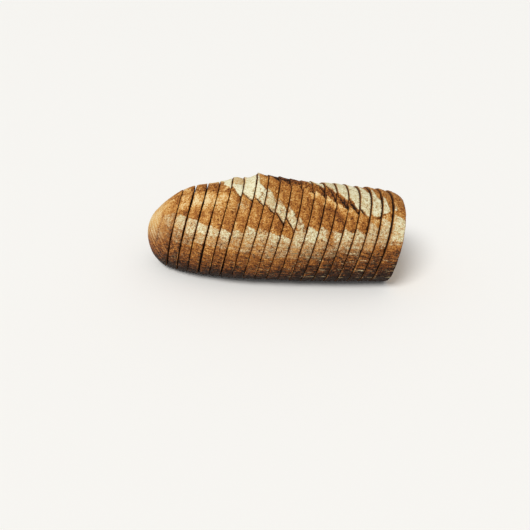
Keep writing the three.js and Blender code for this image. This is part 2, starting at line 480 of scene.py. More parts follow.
def section(x):
    """Half width, top, sole and waist height of the upright section at station x."""
    heel_side = x < WIDEST_X
    out = np.clip(np.abs(x - WIDEST_X) / np.where(heel_side, HEEL_REACH, TAPER_REACH), 0, 1)
    base = 1 - out ** TAPER_POWER
    half_width = HALF_WIDTH * base ** np.where(heel_side, HEEL_WIDTH_POWER, END_WIDTH_POWER)
    heel_top = HEEL_TIP_Z + (HEIGHT - HEEL_TIP_Z) * base ** HEEL_TOP_POWER
    top = np.where(heel_side, heel_top, HEIGHT * base ** END_TOP_POWER)
    rise = np.where(heel_side, HEEL_TIP_Z * out ** HEEL_SOLE_POWER, 0)
    sole = rise - SOLE_PRESS * base ** SOLE_PRESS_POWER
    floor = np.maximum(sole, 0)
    return half_width, top, sole, floor + WAIST_SHARE * (top - floor)


def outline(x, degrees):
    """Outline point of a section: 0 degrees is the front waist, 90 the crest, 180 the back waist."""
    half_width, top, sole, waist = section(x)
    c = np.cos(np.radians(degrees))
    s = np.sin(np.radians(degrees))
    exponent = 2 / np.where(s >= 0, DOME_EXPONENT, BELLY_EXPONENT)
    y = -half_width * np.sign(c) * np.abs(c) ** exponent
    reach = np.where(s >= 0, top - waist, waist - sole)
    z = waist + reach * np.sign(s) * np.abs(s) ** exponent
    return y, np.maximum(z, 0)


class Grain:
    """Random fields over the crust: broad lumps to fine grit, thin layers and hairline crackle."""

    def __init__(self, places):
        for field, (size, seed) in FIELDS.items():
            setattr(self, field, noise(places, size, seed))
        self.strata = noise(places * STRATA_STRETCH, size=1.2, seed=8)
        self.streak = noise(places * STREAK_STRETCH, size=2.6, seed=14)
        self.dash = noise(places * DASH_STRETCH, size=1.2, seed=15)
        self.specks = ramp(noise(places * DASH_STRETCH, size=0.9, seed=16), 0.34, 0.6)
        self.pits = ramp(noise(places, size=1.7, seed=9), 0.4, 0.65)
        self.holes = ramp(noise(places, size=3.0, seed=10), 0.56, 0.66)
        crazing = np.abs(noise(places, size=3.6, seed=12) + self.mix(fine=0.3))
        self.crackle = fade(crazing, 0.02, 0.17) * ramp(self.patch, -0.6, 0.2)

    def mix(self, **weights):
        """Sum of fields by weight."""
        return sum(weight * getattr(self, field) for field, weight in weights.items())

    def bumps(self, **weights):
        """Sum of fields by weight, each folded into rounded bumps."""
        return sum(weight * np.abs(getattr(self, field)) for field, weight in weights.items())


class Traits:
    """What sets one slice apart: bake, flour, shifted marks, and distances from its rims."""

    def __init__(self, index, along):
        for trait, spread in SPREADS.items():
            setattr(self, trait, spread * draw(index, trait))
        self.band = HEEL_BAND if index == HEEL else 1
        self.across = along - 0.5
        self.from_left = along * SLICE_PITCH
        self.from_right = SLICE_PITCH - self.from_left
        self.bright_rim = self.from_left if index >= BRIGHT_LEFT_FROM else self.from_right


def score_place(score, x, degrees, grain, own):
    """Section degrees above a score's lip, and how open its tear is along the loaf, 0 to 1."""
    run = x + LIP_STEP * SLICE_PITCH * own.across - score["x"]
    bent = score["bend"] * np.logaddexp(0, run / score["bend"]) if score["bend"] else run
    above = degrees - (score["angle"] - score["fall"] * bent) + grain.mix(mottle=1.3, blister=0.9)
    return above, np.clip(1 - ((x - score["open_x"]) / score["open_half"]) ** 2, 0, 1)


def score_relief(score, above, opened):
    """Height of a score's lip, less the depth of the torn floor above it."""
    opening = score["open_deg"] * opened + LEAST_OPENING_DEG
    lip = np.sqrt(opened) * bell(above, 0, np.where(above < 0, EAR_BACK_DEG, EAR_FRONT_DEG))
    inside = between(above, 0, TEAR_EDGE_DEG, 0.5 * opening, opening)
    return EAR_HEIGHT * lip - TEAR_DEPTH * opened * inside


def score_marks(score, x, above, opened, grain):
    """How far a score leaves the crust torn, pitted and darkened with painted shadow above the lip, pale
    along the lip and scorched below it.
    """
    opening = score["open_deg"] * opened + LEAST_OPENING_DEG
    torn = between(above, 0, 1.5, opening - 2, opening + 1) * ramp(opened, 0, 0.2)
    shown = score["pale"] * ramp(x, score["lip_x"], score["lip_x"] + LIP_FADE_X)
    # Pits and groove above the lip: dents whose darkening is painted shadow of the raised lip
    pits = bell(above, *PIT_BELT) * ramp(grain.mix(mottle=1, blister=0.4), -0.05, 0.3)
    groove_shadow = bell(above, *GROOVE_BELT) * ramp(grain.mix(cloud=1, blister=1), -0.7, -0.1) * shown
    pitted_and_shadowed = np.maximum(pits * profile(x, **PIT_DEPTH), groove_shadow * profile(x, **GROOVE_DEPTH))
    start, *rest = LIP_BELT
    lip = between(above, start + grain.mix(patch=4), *rest) * ramp(opened, 0, 0.4)
    lip = lip * (profile(x, **LIP_SHOWN) + grain.mix(cloud=0.5))
    scorch = between(above + grain.mix(cloud=6, patch=3), *SCORCH_BELT) * ramp(opened, 0.2, 0.8)
    return torn, score["lip_shadow"] * torn * pitted_and_shadowed, shown * lip, shown * scorch


def torn_scores(x, degrees, grain, own):
    """Relief of scores and bloom, then how far the crust is torn, pitted with painted shadow, pale or
    scorched.
    """
    height = np.zeros_like(x)
    marks = np.zeros((4, *x.shape))
    for score in SCORES:
        above, opened = score_place(score, x, degrees, grain, own)
        height += score_relief(score, above, opened)
        marks = np.maximum(marks, score_marks(score, x, above, opened, grain))
    for bloom in BLOOMS:
        half = np.where(x < bloom["x"], bloom["before"], bloom["after"])
        swell = bell(x, bloom["x"], half) * bell(degrees, bloom["angle"], bloom["around"])
        height += bloom["height"] * swell
    return height, *marks


def stripe(kind, wander, degrees, grain, own):
    """One stripe of floured skin, sharp at the left edge and softer at the right, and its left crack, a dent
    whose darkening is painted shadow.
    """
    place = wander + kind["step"] * SLICE_PITCH * own.across
    from_left = place - np.interp(degrees, STRIPE_ANGLES, kind["left"])
    from_right = place - np.interp(degrees, STRIPE_ANGLES, kind["right"]) - grain.mix(patch=1.5)
    cover = ramp(from_left, *STRIPE_LEFT) * fade(from_right, *STRIPE_RIGHT)
    return cover, bell(from_left, *STRIPE_CRACK) * between(degrees, *kind["crack_and_shadow"])


def floured_skin(x, degrees, grain, own):
    """Cover of the two stripes of floured skin, their cracks, which carry painted shadow, and where the
    flour is rubbed off.
    """
    wander = x + own.slip + grain.mix(mottle=0.8, blister=0.6)
    first, first_crack = stripe(FIRST_STRIPE, wander, degrees, grain, own)
    second, second_crack = stripe(SECOND_STRIPE, wander, degrees, grain, own)
    rubbed = between(x, *RUBBED_X) * ramp(degrees + grain.mix(patch=2), *RUBBED_FROM_DEG)
    rubbed = rubbed * fade(degrees + grain.mix(patch=4), *RUBBED_TO_DEG)
    worn_low = ramp(x, *WORN_X) * ramp(grain.mix(mottle=1, blister=1), -0.5, 0.6)
    first = first * (1 - RUBBED_SHARE * rubbed) * (1 - WORN_SHARE * worn_low)
    above_foot = degrees + grain.mottle - FOOT_DEG - FOOT_RISE * np.maximum(x - FOOT_RISE_X, 0)
    second = second * ramp(above_foot, *FOOT_EDGE)
    foot_crack = FOOT_CRACK_SHARE * bell(above_foot, *FOOT_CRACK) * bell(x, *FOOT_CRACK_X)
    crack_and_shadow = np.maximum(np.maximum(first_crack, second_crack), foot_crack)
    return np.maximum(first, second) * between(degrees, *STRIPES_SHOW), crack_and_shadow, rubbed


def flank_band(x, side, level, grain, own):
    """Flour along each flank: a white band with a sharp upper edge, then a thin layered veil."""
    station = x - SLICE_PITCH * own.across
    top = np.interp(station, BAND_STATIONS, BAND_TOPS) + own.shift - BAND_TILT * own.across
    foot = np.interp(station, BAND_STATIONS, BAND_FEET)
    hem = np.interp(station, BAND_STATIONS, VEIL_FEET)
    below_top = top - side + grain.mix(mottle=0.8, blister=0.5)
    ragged = level + grain.mix(strata=1.2, mottle=0.9)
    depth = profile(x, **BAND_DEPTH) + BAND_WAVE * np.cos((x - BAND_WAVE_X) / BAND_WAVE_LENGTH)
    grainy = BAND_GRAINY + grain.mix(mottle=0.25, blister=0.3, patch=0.25, fine=0.15)
    white = BAND_WHITE * ramp(ragged - foot, *BAND_FOOT_EDGE) * depth * grainy
    veil = profile(ragged - hem, **VEIL_DEPTH) + VEIL_RISE * ramp(ragged, hem, foot)
    cover = np.maximum(white, veil * (1 + grain.mix(mottle=0.3, strata=0.3)))
    cover = cover * (1 - BARE_SHARE * near(BARE_SPOT, x, side))
    return own.band * cover * ramp(below_top, *BAND_TOP_EDGE) * ramp(x, *BAND_START_X)


def layer_lines(x, level, grain):
    """Broken pale lines low along the flanks, and the rings of the basket's coils on the heel."""
    lines = sum(bell(level, place, LINE_HALF) for place in LINE_LEVELS) * ramp(x, *LINES_X)
    coil = level + COIL_TILT * (x - FIRST_CUT_X)
    from_ring = (coil / COIL_SPACING + 0.5) % 1 - 0.5
    rings = bell(from_ring, 0, COIL_HALF) * between(coil, *COIL_SPAN) * fade(x, *RINGS_X)
    lines = lines * ramp(grain.mix(cloud=1, mottle=0.7), -0.1, 0.4)
    return lines, rings * ramp(grain.mix(mottle=1, cloud=1), -0.8, 0.1)


class Crust:
    """The crust of one slice: its marks, and from them its flour, bake with painted shading, and relief."""

    def __init__(self, x, degrees, places, own):
        self.x = x
        self.degrees = degrees
        self.side = np.where(degrees > 90, 180 - degrees, degrees)
        self.z = places[..., 2]
        self.own = own
        self.grain = Grain(places)
        self.low = fade(self.side, *LOW_DEG)
        self.heel = fade(x, *HEEL_X)
        self.calm_heel = 1 - HEEL_CALM * self.heel
        self.calm = self.calm_heel * (1 - LOW_CALM * self.low)
        self.level = self.z + LEVEL_SHIFT * own.shift + self.grain.mix(lump=0.8)
        self.lift, self.torn, self.pitted_and_shadowed, self.pale, self.scorch = torn_scores(x, degrees, self.grain, own)
        skin, self.crack_and_shadow, self.rubbed = floured_skin(x, degrees, self.grain, own)
        self.skin = skin * fade(self.torn, 0, 0.4)
        self.lines, self.rings = layer_lines(x, self.level, self.grain)
        # Rims: painted shade along the gaps in the bake, and flour lost at the cut edges; lit rims get a
        # painted highlight
        self.rims = bell(own.from_left, 0, RIM_REACH) + bell(own.from_right, 0, RIM_REACH)
        lit = bell(own.bright_rim, *LIT_RIM) * between(self.z, *LIT_RIM_Z)
        self.lit = lit * ramp(self.grain.cloud, -0.3, 0.3)

    def marked(self, weights):
        """Sum of marks by weight."""
        return sum(weight * getattr(self, mark) for mark, weight in weights.items())

    def flour(self):
        """Flour cover: stripes and bands, worn off the cracks, pits and rims, and thin flour elsewhere."""
        grain = self.grain
        crest = profile(self.x, **CREST_DEPTH) * ramp(self.side, *CREST_DEG)
        depth = profile(self.x, **STRIPE_DEPTH) + crest
        stripes = self.skin * (depth + grain.mix(patch=0.18, mottle=0.22, blister=0.2))
        thick = np.maximum(stripes, flank_band(self.x, self.side, self.level, grain, self.own))
        thick = thick * (1 - profile(self.x, **CRACKLE_LOSS) * grain.crackle)
        thick = thick * (1 - PIT_LOSS * grain.pits) * (1 - HOLE_LOSS * grain.holes)
        thick = thick * (1 - self.crack_and_shadow) * (1 - RIM_LOSS * self.rims) * (1 + self.own.dust)
        dusting = near(DUSTING, self.x, self.degrees) * ramp(grain.mix(mottle=1, fine=1), -0.3, 0.4)
        heel = self.heel * (HEEL_FLOUR + grain.mix(cloud=0.1)) * ramp(self.side, *HEEL_FLOUR_DEG)
        specks = self.low * self.calm_heel * grain.specks * ramp(self.z, *SPECK_Z)
        thin = DUSTING_FLOUR * dusting + heel + SPECK_FLOUR * specks + self.marked(MARK_FLOUR)
        return np.clip(np.maximum(thick, thin), 0, MOST_FLOUR)

    def bake(self):
        """Browning by height and place, darker in pits and cracks, paler on lips and lines; with painted
        shade low down, towards each slice's right rim and along the rims, painted shadow in cracks and above
        a lip, and painted highlight on lit rims.
        """
        grain = self.grain
        # Darker low down, partly real browning and partly painted shade of the underside
        bake = np.interp(self.level + grain.strata, FLANK_LEVELS, FLANK_BAKE_AND_SHADE)
        # Painted shade: each slice darker towards its right rim
        bake = bake + self.own.tone + SLICE_SHADE * self.own.across
        bake = bake + self.calm * grain.mix(lump=0.05, patch=0.07, mottle=0.04, blister=0.06)
        bake = bake + self.calm * grain.mix(fine=0.05, crackle=0.1, pits=0.1, holes=0.22)
        bake = bake + self.calm * (1 - self.low) * grain.mix(streak=0.12)
        bake = bake + self.low * grain.mix(strata=0.2, dash=0.24)
        bake = bake + self.torn * (profile(self.x, **TORN_BAKE) + grain.bumps(mottle=0.3, blister=-0.2))
        bake = bake + self.scorch * (profile(self.x, **SCORCH_BAKE) + grain.mix(patch=0.16))
        bake = bake - self.pale * (LIP_PALE - grain.bumps(blister=0.3))
        return np.clip(bake + self.local_bake() + self.marked(MARK_BAKE_AND_SHADING), 0, MOST_BAKE)

    def local_bake(self):
        """Change of bake by place: pale spots, the crest, the heel and its crease, and the low end."""
        change = sum(spot["bake"] * near(spot, self.x, getattr(self, spot["by"])) for spot in BAKED_SPOTS)
        for crest in BAKED_CRESTS:
            shown = between(getattr(self, crest["by"]), *crest["angles"])
            change = change + crest["bake"] * bell(self.x, crest["x"], crest["along"]) * shown
        bloom = between(self.x, *BLOOM_CREST["stations"]) * between(self.degrees, *BLOOM_CREST["angles"])
        crease_x = HEEL_CREASE["x"] + HEEL_CREASE["slope"] * (self.side - HEEL_CREASE["angle"])
        crease = bell(self.x + self.grain.mottle, crease_x, HEEL_CREASE["half"])
        crease = crease * between(self.side, *HEEL_CREASE["angles"])
        change = change + BLOOM_CREST["bake"] * bloom + HEEL_CREASE["bake"] * crease
        change = change - self.heel * profile(self.side, **HEEL_PALE)
        return change + LOW_END_BAKE * self.low * ramp(self.x, *LOW_END_X)

    def relief(self, flour):
        """Height in millimetres: lumps, blisters, raised skin, rough torn floors and open cracks."""
        grain = self.grain
        height = self.lift + grain.mix(lump=0.6, patch=0.3, fine=0.16, pits=-0.3, holes=-0.7)
        height = height + self.low * grain.mix(strata=0.14) - self.calm * grain.mix(crackle=0.3)
        height = height + (1 - FLOUR_FILL * np.clip(flour, 0, 1)) * grain.bumps(mottle=0.2, blister=0.26)
        height = height - self.torn * grain.bumps(mottle=1.6, blister=1.1) + self.marked(MARK_RELIEF)
        return height * ramp(self.z, *RELIEF_Z)


def cut_x(cut):
    """Station of the foot of a cut on the loaf's middle line."""
    return FIRST_CUT_X + cut * SLICE_PITCH


def cut_station(foot, y, z):
    """Station of a point of the slanted cut whose foot is at station foot."""
    out = (foot - cut_x(SLICES / 2)) / (SLICE_PITCH * SLICES / 2)
    lean = SLANT - SLANT_END_DROP * out * out
    return foot + lean * z + CUT_TURN * y + CUT_BOW * (y / HALF_WIDTH) ** 2


def loaf_surface(nominal, degrees, share, own):
    """Crust on cuts by their feet: y, z, flour, and bake with painted shading. A share below 1 stands a cut
    more upright.
    """
    nominal, degrees, share = np.broadcast_arrays(nominal, degrees, share)
    x = nominal.astype(float)
    y, z = outline(x, degrees)
    for _ in range(SURFACE_PASSES):
        x = nominal + share * (cut_station(nominal, y, z) - nominal)
        y, z = outline(x, degrees)
    ahead = outline(x, degrees + TANGENT_DEG)
    behind = outline(x, degrees - TANGENT_DEG)
    along_y = ahead[0] - behind[0]
    along_z = ahead[1] - behind[1]
    length = np.hypot(along_y, along_z) + LEAST_LENGTH
    crust = Crust(x, degrees, np.stack((x, y, z), axis=-1), own)
    flour = crust.flour()
    height = crust.relief(flour)
    y = y - height * along_z / length
    z = np.maximum(z + height * along_y / length, 0)
    return y, z, flour, crust.bake()


def even_angles(x):
    """Section angles evenly spaced along the outline at station x, from the middle of the sole."""
    fine = np.linspace(-90, 270, ANGLE_SAMPLES)
    y, z = outline(np.full_like(fine, x), fine)
    run = np.concatenate(((0,), np.cumsum(np.hypot(np.diff(y), np.diff(z)))))
    return np.interp(np.arange(AROUND) / AROUND * run[-1], run, fine)


def half_gap(cut, y, z):
    """Half of the open gap at the rim of one cut."""
    up = np.clip(z / GAP_CREST_Z, 0, 1)
    open_here = GAPS_AT_FOOT[cut] + (GAPS_AT_CREST[cut] - GAPS_AT_FOOT[cut]) * up
    cut_place = np.stack(np.broadcast_arrays(float(CUT_APART * cut), y, z), axis=-1)
    return 0.5 * open_here * (GAP_EASE + GAP_SPREAD * noise(cut_place, size=GAP_WAVE, seed=43))


class Rings:
    """A closed skin strung along rings of points, each as dense as its neighbour, twice or half."""

    def __init__(self):
        self.places = []
        self.fields = []
        self.faces = []
        self.kinds = []
        self.last = None
        self.total = 0

    def add(self, places, fields, kind):
        """Joins one more ring; fields are flour, bake with painted shading, crumb and pore, which paints
        shade in the holes; kind is the material slot.
        """
        count = len(places)
        here = np.arange(self.total, self.total + count)
        self.total += count
        self.places.append(places)
        self.fields.append(np.stack(np.broadcast_arrays(*fields, np.zeros(count))[:-1], axis=-1))
        if self.last is not None:
            self.join(self.last, here, kind)
        self.last = here

    def add_face(self, rings):
        """Joins the rings of a cut face: places, crumb share and pore depth, which paints shade in the
        holes.
        """
        for places, crumb, pore_shade in rings:
            self.add(places, (0, FACE_BAKE, crumb, pore_shade), CRUMB)

    def join(self, a, b, kind):
        """Faces between two rings that follow each other."""
        if len(a) == len(b):
            made = np.stack((a, b, np.roll(b, -1), np.roll(a, -1)), axis=-1).tolist()
        elif len(a) > len(b):
            made = self.fold(a, b, False)
        else:
            made = self.fold(b, a, True)
        self.faces += made
        self.kinds += [kind] * len(made)

    def fold(self, dense, sparse, turned):
        """Triangles between a ring and one with fewer points."""
        step = len(dense) // len(sparse)
        middle = step // 2
        after = np.roll(sparse, -1)
        closed = np.append(dense, dense[0])
        made = []
        for i, point in enumerate(sparse):
            fan = closed[i * step:(i + 1) * step + 1]
            for j in range(step):
                made.append([fan[j], point if j < middle or len(sparse) == 1 else after[i], fan[j + 1]])
            if len(sparse) > 1:
                made.append([fan[middle], point, after[i]])
        if turned:
            made = [face[::-1] for face in made]
        return [[int(v) for v in face] for face in made]

    def piece(self, name, materials):
        """Makes the skin a mesh object that replaces the solid's node of that name."""
        mesh = bpy.data.meshes.new(name)
        mesh.from_pydata((np.concatenate(self.places) * MM).tolist(), [], self.faces)
        fields = np.concatenate(self.fields).astype(np.float32)
        for column, field in enumerate(("flour", "bake", "crumb", "pore_shade")):
            layer = mesh.attributes.new(field, "FLOAT", "POINT")
            layer.data.foreach_set("value", np.ascontiguousarray(fields[:, column]))
        for material in materials:
            mesh.materials.append(material)
        mesh.polygons.foreach_set("material_index", np.array(self.kinds, np.int32))
        mesh.shade_smooth()
        mesh.update()
        made = bpy.data.objects.new(name + "_bread", mesh)
        bpy.context.collection.objects.link(made)
        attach(made, "root")
        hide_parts(name)


def cut_rings(rim, inward, end_face, station):
    """Rings of a cut face from just inside the rim to its middle: places, crumb share and pore depth, which
    paints shade in the holes.

    The station function gives x for y, z and how open the gap is: 1 at the rim, 0 where two faces meet.
    """
    middle = rim.mean(axis=0)
    reach = np.linalg.norm(rim - middle, axis=1).mean()
    if end_face:
        depths = np.arange(END_FIRST_DEPTH, reach - END_LAST_DEPTH, END_RING_STEP)
        rind_and_gap_shade = END_RIND
    else:
        depths = GAP_FACE_DEPTHS[GAP_FACE_DEPTHS < reach - GAP_LAST_DEPTH]
        # Inside a gap the crumb shares stay low, so the face takes near black painted shade
        rind_and_gap_shade = GAP_RIND_AND_SHADE
    made = []
    count = AROUND
    for depth in depths:
        share = 1 - depth / reach
        wanted = AROUND * share
        if not end_face:
            wanted *= max(GAP_LEAST_SHARE, 1 - depth / GAP_THIN_DEPTH)
        if wanted < HALVE_BELOW * count and count % 2 == 0 and count > LEAST_POINTS:
            count //= 2
        points = middle + (rim[:: AROUND // count] - middle) * share
        points[:, 0] = station(points[:, 1], points[:, 2], fade(depth, *GAP_CLOSES))
        made.append((points, np.full(count, np.interp(depth, *rind_and_gap_shade))))
    middle[0] = station(middle[1], middle[2], 0)
    made.append((middle[None], np.ones(1)))
    places = np.concatenate([points for points, _ in made])
    crumb = np.concatenate([share for _, share in made])
    pore_shade = np.zeros(len(places))
    dent = 0.25 * noise(places, size=3.0, seed=21) + 0.12 * noise(places, size=1.3, seed=22)
    if end_face:
        pore_shade, holes = crumb_holes(places, rim, middle)
        dent = dent + holes
    places[:, 0] += inward * np.abs(dent) * crumb
    split = np.cumsum([len(points) for points, _ in made])[:-1]
    return list(zip(np.split(places, split), np.split(crumb, split), np.split(pore_shade, split)))


def crumb_holes(places, rim, middle):
    """Painted shade and depth of the oval holes in a cut face, most of them turned along the crust."""
    rng = np.random.default_rng(HOLE_SEED)
    pore_shade = np.zeros(len(places))
    depth = np.zeros(len(places))
    flat = places[:, 1:]
    for count, least, most, sink in HOLE_KINDS:
        for _ in range(count):
            rim_point = rim[rng.integers(len(rim)), 1:]
            share = math.sqrt(rng.uniform(0.0, HOLE_OUTERMOST - HOLE_KEEP_IN * most))
            spot = middle[1:] + (rim_point - middle[1:]) * share
            half = rng.uniform(least, most)
            slim = rng.uniform(*HOLE_SLIM)
            outward = rim_point - middle[1:]
            turn = math.atan2(outward[0], -outward[1]) + rng.normal(0, HOLE_TURN_SPREAD)
            close = np.flatnonzero(np.abs(flat - spot).max(axis=1) < half * HOLE_MARGIN)
            away = flat[close] - spot
            u = away[:, 0] * math.cos(turn) + away[:, 1] * math.sin(turn)
            v = away[:, 1] * math.cos(turn) - away[:, 0] * math.sin(turn)
            inside = np.sqrt(np.clip(1 - (u / half) ** 2 - (v / (half * slim)) ** 2, 0, 1))
            pore_shade[close] = np.maximum(pore_shade[close], inside)
            depth[close] = np.maximum(depth[close], sink * half * slim * HOLE_DEPTH * inside)
    return pore_shade, depth


def worn_rim(rim):
    """Rim points drawn in a little, unevenly, towards the middle of the cut."""
    wear = EDGE_WEAR * (1 + EDGE_WEAR_SPREAD * noise(rim, size=2.2, seed=41))
    away = rim - rim.mean(axis=0)
    return rim - away / np.linalg.norm(away, axis=1, keepdims=True) * wear[:, None]


def tipped(index, nominal, y, z):
    """Places y and z of a slice's crust after it has tipped, rolled, turned and slid."""
    from_middle = cut_x(index + 0.5) - nominal
    tip = TIP_SHARE + TIP_SHARE_SPREAD * draw(index, "tip")
    slide = SLIDE_Y * draw(index, "slide")
    roll = ROLL * draw(index, "roll")
    turn = TURN + TURN_SPREAD * draw(index, "turn") + TURN_TO_END * index / SLICES
    free = ramp(z, TIP_FROM_Z, TIP_FULL_Z)
    moved_y = y + free * (slide + roll * (z - TIP_FULL_Z)) - turn * from_middle
    moved_z = z + free * (tip * SLANT * from_middle - roll * y)
    return moved_y, moved_z


def slice_piece(index, materials):
    """One slice: its left face, its crust and its right face, in one closed skin."""
    degrees = even_angles(cut_x(index + 0.5) + SLICE_MIDDLE_Z * SLANT)
    edge = RIM_STEP / SLICE_PITCH
    along = np.concatenate(((0,), np.linspace(edge, 1 - edge, CRUST_RINGS - 1), (1,)))[:, None]
    nominal = cut_x(index) + SLICE_PITCH * along
    y, z, flour, bake = loaf_surface(nominal, degrees[None], 1, Traits(index, along))
    y, z = tipped(index, nominal, y, z)
    end_slice = index == SLICES - 1

    def station(along, y, z, is_open):
        left = GAP_INSIDE + (half_gap(index, y, z) - GAP_INSIDE) * is_open
        right = GAP_INSIDE + (half_gap(index + 1, y, z) - GAP_INSIDE) * is_open
        foot = cut_x(index + along) + left * (1 - along) - right * along
        flare = END_FLARE * (END_FLARE_Z - z) * along if end_slice else 0
        return cut_station(foot, y, z) + flare

    places = np.stack((station(along, y, z, 1), y, z), axis=-1)
    for ring in (0, -1):
        places[ring] = worn_rim(places[ring])
        places[ring][:, 2] = np.maximum(places[ring][:, 2], 0)
        flour[ring] *= RIM_FLOUR
    skin = Rings()
    left_face = cut_rings(places[0], 1, False, partial(station, 0))
    right_face = cut_rings(places[-1], -1, end_slice, partial(station, 1))
    skin.add_face(reversed(left_face))
    for ring in range(len(places)):
        skin.add(places[ring], (flour[ring], bake[ring], 0, 0), CRUMB if ring == 0 else CRUST)
    skin.add_face(right_face)
    skin.piece(f"slice_{index + 1:02d}", materials)


def heel_piece(materials):
    """The heel: rings that grow from its tip and lean over into the first cut."""
    tip_x = WIDEST_X - HEEL_REACH
    foot = cut_x(0)
    degrees = even_angles(foot + HEEL_MIDDLE_Z * SLANT)
    share = np.concatenate((np.linspace(HEEL_TIP_SHARE, HEEL_RIM_SHARE, HEEL_RINGS), (1,)))[:, None]
    nominal = tip_x + (foot - tip_x) * share ** HEEL_RING_POWER
    y, z, flour, bake = loaf_surface(nominal, degrees[None], share, Traits(HEEL, share))

    def station(y, z, is_open):
        return cut_station(foot, y, z) - GAP_INSIDE - (half_gap(0, y, z) - GAP_INSIDE) * is_open

    x = nominal + share * (cut_station(nominal, y, z) - nominal)
    x = x - half_gap(0, y, z) * share ** HEEL_GAP_POWER
    places = np.stack((x, y, z), axis=-1)
    places[-1] = worn_rim(places[-1])
    flour[-1] *= RIM_FLOUR
    skin = Rings()
    skin.add(places[0].mean(axis=0)[None], (flour[0].mean(), bake[0].mean(), 0, 0), CRUST)
    count = HEEL_FIRST_POINTS
    for ring in range(len(places)):
        around = np.linalg.norm(np.diff(places[ring], axis=0), axis=1).sum()
        while count < AROUND and around / count > HEEL_POINT_STEP:
            count *= 2
        step = AROUND // count
        skin.add(places[ring][::step], (flour[ring][::step], bake[ring][::step], 0, 0), CRUST)
    skin.add_face(cut_rings(places[-1], -1, False, station))
    skin.piece("heel", materials)


def colour(code):
    """Linear colour of an sRGB code such as c8a060."""
    parts = [int(code[i:i + 2], 16) / 255 for i in (0, 2, 4)]
    return [p / 12.92 if p <= 0.04045 else ((p + 0.055) / 1.055) ** 2.4 for p in parts] + [1]


def new_material(name):
    """A material with an empty node tree."""
    material = bpy.data.materials.new(name)
    material.use_nodes = True
    material.node_tree.nodes.clear()
    return material


def add(tree, kind, values=None, links=None, stops=(), out=0, **settings):
    """Adds a shader node with its settings, fixed inputs, links and colour stops, and gives one output."""
    made = tree.nodes.new("ShaderNode" + kind)
    for name, value in settings.items():
        setattr(made, name, value)
    for socket, value in (values or {}).items():
        made.inputs[socket].default_value = value
    for socket, source in (links or {}).items():
        tree.links.new(source, made.inputs[socket])
    if stops:
        elements = made.color_ramp.elements
        while len(elements) < len(stops):
            elements.new(0.5)
        for element, (place, code) in zip(elements, stops):
            element.position = place
            element.color = colour(code)
    return made.outputs[out] if made.outputs else None


def skin_colour(node, place, grain, wrinkle):
    """Colour of the bare crust by bake and painted shading, mottled by grain and, above the low flank, by
    wrinkles.
    """
    bake = node("Attribute", attribute_name="bake", out="Fac")
    patch = node("TexNoise", {"Scale": 1 / (PATCH_MM * MM), "Detail": 2}, {"Vector": place})
    fine = node("Math", {1: 1.4, 2: -0.8}, {0: grain}, operation="MULTIPLY_ADD")
    mottled = node("Math", {1: 0.2}, {0: patch, 2: fine}, operation="MULTIPLY_ADD")
    lined = node("Math", {1: 0.52}, {0: wrinkle}, operation="SUBTRACT")
    station = node("SeparateXYZ", links={0: place}, out="X")
    height = node("SeparateXYZ", links={0: place}, out="Z")
    calm = node("MapRange",
                {"From Min": WRINKLES_Z[0], "From Max": WRINKLES_Z[1], "To Min": 0.3}, {"Value": height})
    even = node("MapRange",
                {"From Min": GRAIN_X[0], "From Max": GRAIN_X[1], "To Min": 0.5}, {"Value": station})
    marked = node("Math", links={0: lined, 1: calm, 2: mottled}, operation="MULTIPLY_ADD")
    toasted_and_shaded = node("Math", links={0: marked, 1: even, 2: bake}, operation="MULTIPLY_ADD")
    return node("ValToRGB", links={"Fac": toasted_and_shaded}, stops=SKIN_STOPS)


def flour_layer(node, place, grain):
    """How far flour hides the crust, and its colour: cream, and tan where it lies thin."""
    flour = node("Attribute", attribute_name="flour", out="Fac")
    dust = node("TexNoise", {"Scale": 1 / (DUST_MM * MM), "Detail": 3, "Roughness": 0.7}, {"Vector": place})
    cover = node("Math", {1: 1.4, 2: -0.7}, {0: dust}, operation="MULTIPLY_ADD")
    dusted = node("Math", links={0: flour, 1: cover}, operation="ADD")
    floured = node("MapRange", {"From Min": 0.1, "From Max": 0.9}, {"Value": dusted},
                   interpolation_type="SMOOTHSTEP")
    clump = node("MapRange", {"From Min": 0.36, "From Max": 0.66}, {"Value": grain})
    thin = node("MapRange", {"From Min": 0.85, "From Max": 1.2, "To Min": 1.0, "To Max": 0.2},
                {"Value": flour})
    tan = node("Math", links={0: clump, 1: thin}, operation="MULTIPLY")
    powder = node("Mix", {MIX_A: colour("f3efd0"), MIX_B: colour("c4b277")}, {MIX_FACTOR: tan}, **COLOUR_MIX)
    veil = node("Mix", {MIX_A: colour("c4a06b")}, {MIX_FACTOR: floured, MIX_B: powder}, **COLOUR_MIX)
    return floured, veil


